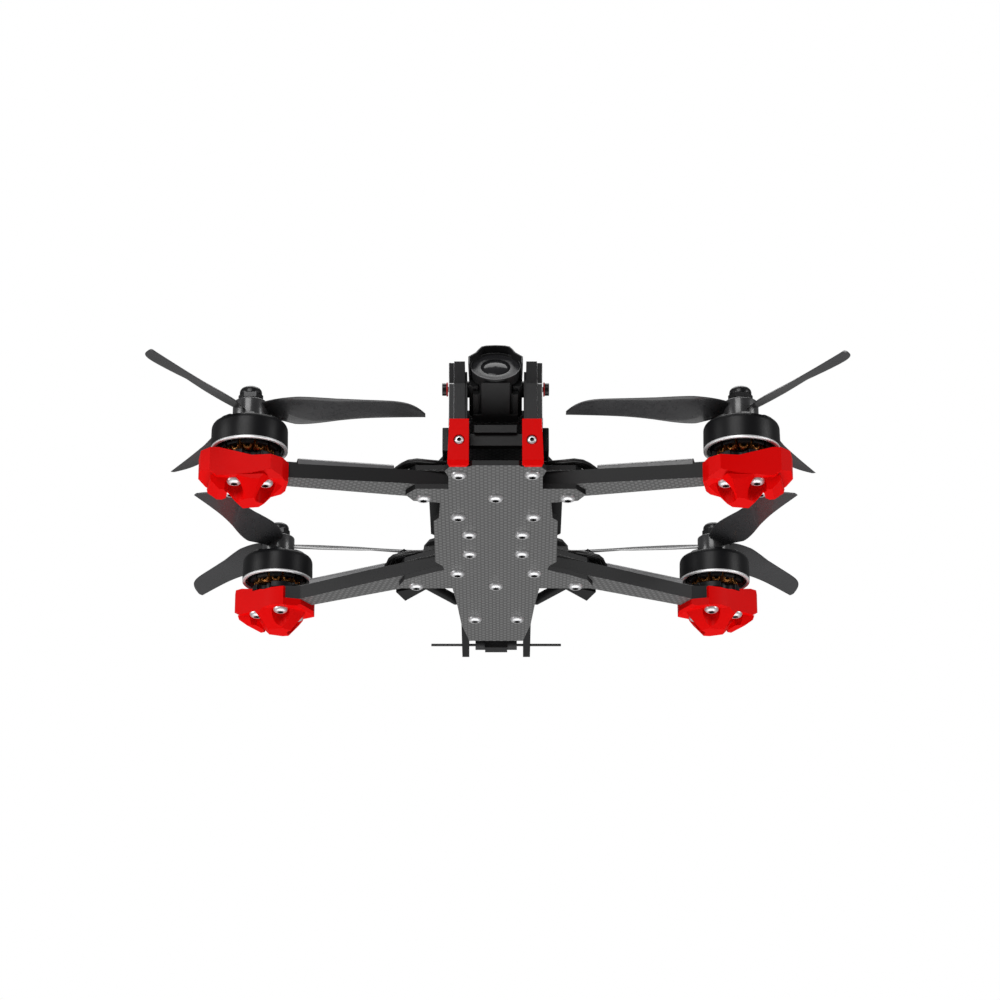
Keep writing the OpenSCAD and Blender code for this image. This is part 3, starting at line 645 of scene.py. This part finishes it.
def prop_nut(c):
    node = "prop_nut_" + c
    low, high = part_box(node)
    place = Matrix.Translation(((low.x + high.x) / 2, (low.y + high.y) / 2, low.z))
    build = Builder()
    build.lathe([(2.55 * MM, 0), (4.7 * MM, 0), (4.9 * MM, 0.25 * MM), (4.85 * MM, 0.8 * MM),
                 (4.4 * MM, 1.1 * MM)], 48, place)
    rings = []
    for wide, h in ((4.25, 0.9), (4.55, 1.2), (4.55, 3.1), (4.1, 3.6)):
        rings.append([place @ Vector((wide * MM * math.cos(t), wide * MM * math.sin(t), h * MM))
                      for t in (math.radians(60 * k) for k in range(6))])
    build.quad_rings(rings)
    build.lathe([(4.1 * MM, 3.2 * MM), (4.1 * MM, 4.3 * MM), (3.95 * MM, 4.9 * MM), (3.5 * MM, 5.5 * MM),
                 (2.9 * MM, 5.9 * MM), (2.55 * MM, 5.95 * MM), (2.55 * MM, 0.0)], 48, place)
    sharp(add(node + "_finished", build.mesh(node), [black_steel],
              body_of(node), [node]), 32)


for c in CORNERS:
    stator(c)
    bell(c)
    propeller(c)
    prop_nut(c)


# ---------------------------------------------------------------- nose camera
def nose_camera():
    pivot = Vector(TILT["pos_m"])
    tilt = Matrix.Translation(pivot) @ Matrix.Rotation(math.radians(-CAMERA_TILT), 4, "X")
    # in this frame Z runs out along the lens axis, X to the side and Y up
    look = tilt @ Matrix.Rotation(math.radians(90), 4, "X")
    body = Builder()

    def block(outline, back, front):
        body.prism([(x * MM, y * MM) for x, y in outline], back * MM, front * MM, look)

    def box(low_x, high_x, low_y, high_y, back, front):
        block([(low_x, low_y), (high_x, low_y), (high_x, high_y), (low_x, high_y)], back, front)

    block([(-5.2, -9.5), (5.2, -9.5), (5.7, -8.8), (6.6, 8.8), (6, 9.5), (-6, 9.5), (-6.6, 8.8),
           (-5.7, -8.8)], -5.2, 7.4)
    box(-8.1, 8.1, -9.55, -3, -7.9, -4.9)
    box(-8.2, 8.2, -8.2, -3, -7.5, 3.4)
    box(-5.2, 5.2, -9.58, -9.3, -4.6, 8.8)
    for s in (-1, 1):
        block([(s * 6.2, -6.4), (s * 8.6, -7), (s * 9.6, -6), (s * 9.6, 6.6), (s * 8.4, 7.6),
               (s * 6.2, 7.6)], -7.4, 5.6)
        block([(s * 6.3, -9.3), (s * 8.2, -9.3), (s * 8.2, -4), (s * 6.3, -4)], -5.6, 3.6)
    boss = tilt @ Matrix.Rotation(math.radians(90), 4, "Y")
    body.lathe([(3 * MM, -10.7 * MM), (3 * MM, 10.7 * MM)], 32, boss, cap=(True, True))
    made = add("camera_body", body.mesh("camera_body"), [moulded],
               "camera", ["camera_housing"])
    bevel(made, 0.3 * MM, 3, 30)
    # bezel that carries the lens: a thin lip, painted pale as a highlight, round a glossy disc
    bezel = Builder()
    bezel.lathe([(8.2 * MM, 5.8 * MM), (8.95 * MM, 6.2 * MM), (9.1 * MM, 9.9 * MM),
                 (9.05 * MM, 10.1 * MM), (8.9 * MM, 10.12 * MM), (8.8 * MM, 9.6 * MM),
                 (8.2 * MM, 8.6 * MM), (8.2 * MM, 5.8 * MM)], 72, look)
    # the front of the lip, two rings of 72 faces, is painted paler as a painted highlight
    bezel.index = [1 if 144 <= k < 288 else 0 for k in range(len(bezel.faces))]
    sharp(add("camera_bezel", bezel.mesh("camera_bezel"), [moulded, cover_grey],
              "camera", ["camera_housing"]), 40)
    # hood over the lens: a bent strip with real thickness
    outline = [(-9.6, -2.6), (-9.6, 2.4), (-7.0, 5.2), (-6.0, 7.4), (-5.0, 9.2), (-3.4, 9.85), (0, 10.1),
               (3.4, 9.85), (5.0, 9.2), (6.0, 7.4), (7.0, 5.2), (9.6, 2.4), (9.6, -2.6)]
    hood = Builder()
    rings = []
    for z, shrink in ((4.0, 0.97), (9.5, 0.99), (12.7, 1.0)):
        rings.append([look @ Vector((x * shrink * MM, y * shrink * MM, z * MM)) for x, y in outline])
    hood.quad_rings(rings, closed=False)
    made = add("camera_hood", hood.mesh("camera_hood"), [moulded],
               "camera", ["camera_housing"])
    solid = made.modifiers.new("wall", "SOLIDIFY")
    solid.thickness, solid.offset = 0.7 * MM, 0
    solid.use_even_offset = True
    bevel(made, 0.2 * MM, 3, 25)
    # lens barrel, rings and glass
    lens = Builder()
    lens.lathe([(8.15 * MM, 6.2 * MM), (8.7 * MM, 9.3 * MM), (8.6 * MM, 9.45 * MM), (7.0 * MM, 9.5 * MM),
                (5.6 * MM, 9.55 * MM), (5.4 * MM, 9.5 * MM), (5.3 * MM, 8.9 * MM)], 72, look)
    sharp(add("camera_lens_ring", lens.mesh("camera_lens_ring"), [lens_deep],
              "camera", ["camera_lens"]), 25)
    glass = Builder()
    glass.lathe([(5.35 * MM, 8.95 * MM)] + [(5.3 * MM * math.cos(t), (8.95 + 1.3 * math.sin(t)) * MM)
                for t in (math.radians(15 * k) for k in range(1, 6))] + [(0.02 * MM, 10.25 * MM)], 64, look)
    add("camera_lens_glass", glass.mesh("camera_lens_glass"), [lens_glass],
        "camera", ["camera_lens"])


nose_camera()


# ---------------------------------------------------------------- stage, light and camera
def stage():
    mesh = bpy.data.meshes.new("floor")
    size, drop = 6.0, -0.9
    corners = [(-size, -size, drop), (size, -size, drop), (size, size, drop), (-size, size, drop)]
    mesh.from_pydata(corners, [], [(0, 1, 2, 3)])
    floor = bpy.data.objects.new("floor", mesh)
    bpy.context.scene.collection.objects.link(floor)
    mesh.materials.append(plain("floor_pale", (0.82, 0.82, 0.82), 0.9, vary=0.0))
    world = bpy.data.worlds.new("studio")
    bpy.context.scene.world = world
    world.use_nodes = True
    tree = world.node_tree
    tree.nodes.clear()
    out = tree.nodes.new("ShaderNodeOutputWorld")
    # white where the camera sees it, dim where it lights the craft
    seen = tree.nodes.new("ShaderNodeBackground")
    seen.inputs["Color"].default_value = (1, 1, 1, 1)
    seen.inputs["Strength"].default_value = 1.0
    lit = tree.nodes.new("ShaderNodeBackground")
    lit.inputs["Color"].default_value = (1, 1, 1, 1)
    lit.inputs["Strength"].default_value = 0.16
    path = tree.nodes.new("ShaderNodeLightPath")
    mix = tree.nodes.new("ShaderNodeMixShader")
    tree.links.new(path.outputs["Is Camera Ray"], mix.inputs[0])
    tree.links.new(lit.outputs[0], mix.inputs[1])
    tree.links.new(seen.outputs[0], mix.inputs[2])
    tree.links.new(mix.outputs[0], out.inputs["Surface"])


def softbox(name, place, aim, width, height, power):
    data = bpy.data.lights.new(name, "AREA")
    data.shape, data.size, data.size_y, data.energy = "RECTANGLE", width, height, power
    lamp = bpy.data.objects.new(name, data)
    bpy.context.scene.collection.objects.link(lamp)
    lamp.location = place
    lamp.rotation_euler = (Vector(aim) - Vector(place)).to_track_quat("-Z", "Y").to_euler()


def camera():
    data = bpy.data.cameras.new("camera")
    data.lens, data.sensor_width = 121.6, 36.0
    data.clip_start, data.clip_end = 0.05, 30
    shot = bpy.data.objects.new("camera", data)
    bpy.context.scene.collection.objects.link(shot)
    shot.location = (0.0016, -1.2046, -0.4589)
    shot.rotation_euler = (math.radians(90 + 22.061), 0, 0)
    bpy.context.scene.camera = shot


stage()
camera()
softbox("key", (-0.3, -1.0, 0.55), (0, 0, 0.02), 0.6, 0.4, 5)
softbox("under", (0.0, 0.05, -0.85), (0, 0, 0.02), 1.2, 1.0, 7)
softbox("side_right", (1.0, -0.35, 0.25), (0, 0, 0.02), 0.4, 0.5, 3.5)
softbox("side_left", (-1.0, -0.35, 0.15), (0, 0, 0.02), 0.4, 0.5, 4.5)
softbox("top", (0.0, 0.3, 1.1), (0, 0, 0.02), 0.9, 0.9, 8)
bpy.context.scene.view_settings.view_transform = "Standard"
